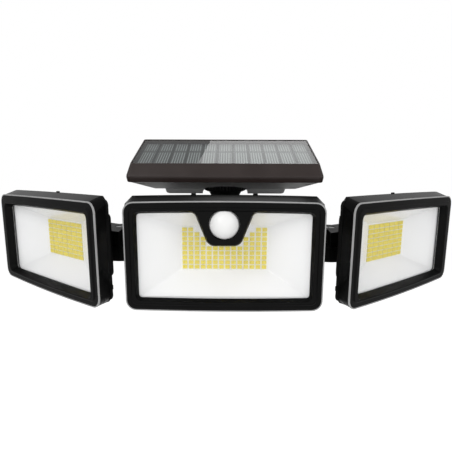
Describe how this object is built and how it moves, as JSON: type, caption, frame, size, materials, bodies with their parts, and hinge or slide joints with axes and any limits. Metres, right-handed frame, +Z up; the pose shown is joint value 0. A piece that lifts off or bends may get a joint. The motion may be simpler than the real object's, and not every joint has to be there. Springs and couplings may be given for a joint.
{
  "type": "solar security light",
  "caption": "Solar security light for a wall: tilting lamp heads, a motion sensor dome in the middle window and a solar panel on a clamped ball joint.",
  "frame": {"origin": "middle of the wall plate's screw pattern, on the wall plane", "axes": "+X to the right as seen from the front, +Y into the wall, +Z up"},
  "size_m": [0.3894, 0.1386, 0.1252],
  "materials": {
    "black_satin": "moulded plastic with a fine satin grain",
    "black_gloss": "moulded plastic with a polished side wall",
    "clear_window": "clear moulded window, smooth on both faces",
    "grey_rubber": "matt moulded rubber",
    "white_reflector": "smooth white plastic, slightly shiny",
    "white_board": "white solder mask",
    "led_phosphor": "yellow phosphor under clear silicone",
    "dome_white": "milky plastic moulded in small facets",
    "sensor_can": "plated can",
    "board_green": "green solder mask",
    "screw_steel": "zinc-plated steel",
    "ball_steel": "turned and plated steel",
    "cell_wrap": "shrink wrap",
    "white_cup": "slippery white plastic",
    "button_rubber": "soft moulded rubber",
    "solar_glass": "clear flat glass",
    "dark_board": "dark board under the cells",
    "silicon": "dark silicon with printed silver fingers"
  },
  "bodies": {
    "rear": {"wall_plate": "black_satin", "rear_body": "black_satin", "rear_lid": "black_satin", "lid_screws": "screw_steel", "plate_screws": "screw_steel", "neck_screws": "screw_steel", "battery_cells": "cell_wrap", "neck": "black_satin", "centre_tilt_bolt": "screw_steel", "left_swing_bolt": "screw_steel", "right_swing_bolt": "screw_steel"},
    "centre_head": {"centre_bezel": "black_satin", "centre_lens": "clear_window", "centre_seal": "grey_rubber", "centre_housing": "black_gloss", "centre_reflector": "white_reflector", "centre_led_board": "white_board", "centre_leds": "led_phosphor", "centre_rear_cover": "black_satin", "centre_cover_screws": "screw_steel", "pir_dome": "dome_white", "sensor_tube": "black_satin", "pir_sensor": "sensor_can", "control_board": "board_green"},
    "left_swing_arm": {"left_arm": "black_satin"},
    "right_swing_arm": {"right_arm": "black_satin"},
    "left_head": {"left_bezel": "black_satin", "left_lens": "clear_window", "left_seal": "grey_rubber", "left_housing": "black_gloss", "left_reflector": "white_reflector", "left_led_board": "white_board", "left_leds": "led_phosphor", "left_rear_cover": "black_satin", "left_cover_screws": "screw_steel", "left_tilt_bolt": "screw_steel"},
    "right_head": {"right_bezel": "black_satin", "right_lens": "clear_window", "right_seal": "grey_rubber", "right_housing": "black_gloss", "right_reflector": "white_reflector", "right_led_board": "white_board", "right_leds": "led_phosphor", "right_rear_cover": "black_satin", "right_cover_screws": "screw_steel", "right_tilt_bolt": "screw_steel"},
    "clamp_ring": {"lock_ring": "black_satin"},
    "swivel": {"swivel_cup": "white_cup"},
    "panel": {"panel_frame": "black_satin", "solar_glass": "solar_glass", "solar_cells": "silicon", "cell_board": "dark_board", "panel_back": "black_satin", "panel_screws": "screw_steel", "ball_stem": "ball_steel"},
    "button": {"mode_button": "button_rubber"}
  },
  "joints": [
    {"name": "centre_tilt", "type": "hinge", "parent": "rear", "child": "centre_head", "pos_m": [0, -0.07505, -0.00073], "axis": [1, 0, 0], "range_deg": [-5, 25]},
    {"name": "left_swing", "type": "hinge", "parent": "rear", "child": "left_swing_arm", "pos_m": [-0.08602, -0.06445, 0], "axis": [0, 0, -1], "range_deg": [-2, 20]},
    {"name": "right_swing", "type": "hinge", "parent": "rear", "child": "right_swing_arm", "pos_m": [0.08602, -0.06445, 0], "axis": [0, 0, 1], "range_deg": [-2, 20]},
    {"name": "left_tilt", "type": "hinge", "parent": "left_swing_arm", "child": "left_head", "pos_m": [-0.11397, -0.06256, -0.00116], "axis": [0.7804, -0.6252, 0], "range_deg": [-12, 15]},
    {"name": "right_tilt", "type": "hinge", "parent": "right_swing_arm", "child": "right_head", "pos_m": [0.11397, -0.06256, -0.00116], "axis": [0.7804, 0.6252, 0], "range_deg": [-12, 15]},
    {"name": "clamp_turn", "type": "hinge", "parent": "rear", "child": "clamp_ring", "pos_m": [0, -0.065, 0.042], "axis": [0, 0, 1], "range_deg": [0, 90]},
    {"name": "panel_swivel", "type": "hinge", "parent": "rear", "child": "swivel", "pos_m": [0, -0.065, 0.038], "axis": [0, 0, 1], "range_deg": [-20, 20]},
    {"name": "panel_tilt", "type": "hinge", "parent": "swivel", "child": "panel", "pos_m": [0, -0.065, 0.038], "axis": [1, 0, 0], "range_deg": [-26, 4]},
    {"name": "button_press", "type": "slide", "parent": "rear", "child": "button", "axis": [0, 0, 1], "range_m": [0, 0.0015], "stiffness_N_per_m": 1500}
  ]
}
